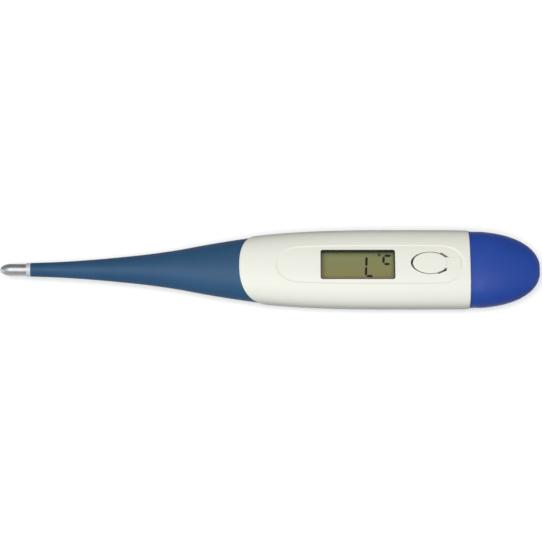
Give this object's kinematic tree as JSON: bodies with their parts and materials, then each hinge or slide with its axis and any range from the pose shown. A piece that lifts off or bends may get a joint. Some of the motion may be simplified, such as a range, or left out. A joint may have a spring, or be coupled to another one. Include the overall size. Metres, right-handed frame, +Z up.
{
  "type": "digital thermometer",
  "caption": "Stick clinical thermometer with a metal sensing tip, a flexible rubber stem, a display window, a sprung push key and a pull-off battery cap.",
  "frame": {"origin": "under the middle of the thermometer's length, on the flat land that it rests on", "axes": "+X along its length, from the metal tip to the battery cap; +Y to the top of the display's characters; +Z up, out of the display"},
  "size_m": [0.128, 0.019, 0.0108],
  "materials": {
    "steel": "drawn and polished, satin",
    "collar": "pale bonding ring",
    "stem_rubber": "soft-touch thermoplastic elastomer, matte",
    "white_shell": "moulded plastic, satin gloss",
    "white_key": "moulded plastic, satin gloss",
    "blue_cap": "moulded plastic, semi-gloss",
    "clear_lens": "clear acrylic",
    "display_film": "olive reflective display film",
    "display_glass": "glass",
    "display_mark": "dark liquid-crystal mark",
    "inner_plastic": "moulded grey plastic",
    "dark_trim": "moulded dark plastic",
    "zebra_rubber": "striped silicone",
    "board": "green solder mask",
    "epoxy": "black potting",
    "component": "fired ceramic",
    "spring_steel": "nickel plated",
    "brass": "rolled",
    "piezo": "fired",
    "seal_rubber": "moulded silicone",
    "cell_steel": "nickel plated",
    "copper": "enamelled copper"
  },
  "bodies": {
    "housing": {"wire_tails": "copper", "stem_root": "stem_rubber", "upper_cover": "white_shell", "lower_cover": "white_shell", "window_surround": "dark_trim", "display_lens": "clear_lens", "lcd_polariser": "display_film", "lcd_glass": "display_glass", "lcd_segments": "display_mark", "lcd_reflector": "display_film", "display_frame": "inner_plastic", "zebra_connector": "zebra_rubber", "circuit_board": "board", "controller_chip": "epoxy", "dome_switch": "spring_steel", "board_components": "component", "buzzer_plate": "brass", "buzzer_ceramic": "piezo", "battery_tray": "inner_plastic", "cap_seal": "seal_rubber", "coin_cell": "cell_steel", "positive_contact": "spring_steel", "negative_contact": "spring_steel"},
    "button": {"power_button": "white_key"},
    "cap": {"battery_cap": "blue_cap"},
    "tip": {"stem_front": "stem_rubber", "tip_collar": "collar", "probe_tip": "steel", "thermistor": "piezo", "sensor_epoxy": "epoxy", "sensor_leads": "copper"},
    "slice_11": {"stem_slice_11": "stem_rubber"},
    "slice_10": {"stem_slice_10": "stem_rubber"},
    "slice_09": {"stem_slice_09": "stem_rubber"},
    "slice_08": {"stem_slice_08": "stem_rubber"},
    "slice_07": {"stem_slice_07": "stem_rubber"},
    "slice_06": {"stem_slice_06": "stem_rubber", "sensor_wires": "copper"},
    "slice_05": {"stem_slice_05": "stem_rubber"},
    "slice_04": {"stem_slice_04": "stem_rubber"},
    "slice_03": {"stem_slice_03": "stem_rubber"},
    "slice_02": {"stem_slice_02": "stem_rubber"},
    "slice_01": {"stem_slice_01": "stem_rubber"}
  },
  "joints": [
    {"name": "button_press", "type": "hinge", "parent": "housing", "child": "button", "pos_m": [0.0443, 0, 0.01005], "axis": [0, -1, 0], "range_deg": [0, 2.5], "stiffness_Nm_per_rad": 0.15},
    {"name": "cap_pull", "type": "slide", "parent": "housing", "child": "cap", "axis": [1, 0, 0], "range_m": [0, 0.02]},
    {"name": "lift_bend_1", "type": "hinge", "parent": "housing", "child": "slice_11", "pos_m": [-0.01812, 0, 0.0053], "axis": [0.0007, 1, 0.0007], "range_deg": [-1.1, 7.5], "stiffness_Nm_per_rad": 0.03},
    {"name": "side_bend_1", "type": "hinge", "parent": "slice_11", "child": "slice_10", "pos_m": [-0.02038, 0, 0.0053], "axis": [0.0007, 0.0007, -1], "range_deg": [-7.5, 7.5], "stiffness_Nm_per_rad": 0.03},
    {"name": "lift_bend_2", "type": "hinge", "parent": "slice_10", "child": "slice_09", "pos_m": [-0.02262, 0, 0.0053], "axis": [0.0007, 1, 0.0007], "range_deg": [-1.1, 7.5], "stiffness_Nm_per_rad": 0.03},
    {"name": "side_bend_2", "type": "hinge", "parent": "slice_09", "child": "slice_08", "pos_m": [-0.02488, 0, 0.0053], "axis": [0.0007, 0.0007, -1], "range_deg": [-7.5, 7.5], "stiffness_Nm_per_rad": 0.03},
    {"name": "lift_bend_3", "type": "hinge", "parent": "slice_08", "child": "slice_07", "pos_m": [-0.02712, 0, 0.0053], "axis": [0.0007, 1, 0.0007], "range_deg": [-1.1, 7.5], "stiffness_Nm_per_rad": 0.03},
    {"name": "side_bend_3", "type": "hinge", "parent": "slice_07", "child": "slice_06", "pos_m": [-0.02937, 0, 0.0053], "axis": [0.0007, 0.0007, -1], "range_deg": [-7.5, 7.5], "stiffness_Nm_per_rad": 0.03, "deforming": ["sensor_wires"]},
    {"name": "lift_bend_4", "type": "hinge", "parent": "slice_06", "child": "slice_05", "pos_m": [-0.03163, 0, 0.0053], "axis": [0.0007, 1, 0.0007], "range_deg": [-1.1, 7.5], "stiffness_Nm_per_rad": 0.03},
    {"name": "side_bend_4", "type": "hinge", "parent": "slice_05", "child": "slice_04", "pos_m": [-0.03388, 0, 0.0053], "axis": [0.0007, 0.0007, -1], "range_deg": [-7.5, 7.5], "stiffness_Nm_per_rad": 0.03},
    {"name": "lift_bend_5", "type": "hinge", "parent": "slice_04", "child": "slice_03", "pos_m": [-0.03612, 0, 0.0053], "axis": [0.0007, 1, 0.0007], "range_deg": [-1.1, 7.5], "stiffness_Nm_per_rad": 0.03},
    {"name": "side_bend_5", "type": "hinge", "parent": "slice_03", "child": "slice_02", "pos_m": [-0.03837, 0, 0.0053], "axis": [0.0007, 0.0007, -1], "range_deg": [-7.5, 7.5], "stiffness_Nm_per_rad": 0.03},
    {"name": "lift_bend_6", "type": "hinge", "parent": "slice_02", "child": "slice_01", "pos_m": [-0.04063, 0, 0.0053], "axis": [0.0007, 1, 0.0007], "range_deg": [-1.1, 7.5], "stiffness_Nm_per_rad": 0.03},
    {"name": "side_bend_6", "type": "hinge", "parent": "slice_01", "child": "tip", "pos_m": [-0.04288, 0, 0.0053], "axis": [0.0007, 0.0007, -1], "range_deg": [-7.5, 7.5], "stiffness_Nm_per_rad": 0.03}
  ],
  "couplings": [
    {"joint": "lift_bend_2", "follows": "lift_bend_1", "ratio": 1},
    {"joint": "side_bend_2", "follows": "side_bend_1", "ratio": 1},
    {"joint": "lift_bend_3", "follows": "lift_bend_1", "ratio": 1},
    {"joint": "side_bend_3", "follows": "side_bend_1", "ratio": 1},
    {"joint": "lift_bend_4", "follows": "lift_bend_1", "ratio": 1},
    {"joint": "side_bend_4", "follows": "side_bend_1", "ratio": 1},
    {"joint": "lift_bend_5", "follows": "lift_bend_1", "ratio": 1},
    {"joint": "side_bend_5", "follows": "side_bend_1", "ratio": 1},
    {"joint": "lift_bend_6", "follows": "lift_bend_1", "ratio": 1},
    {"joint": "side_bend_6", "follows": "side_bend_1", "ratio": 1}
  ]
}
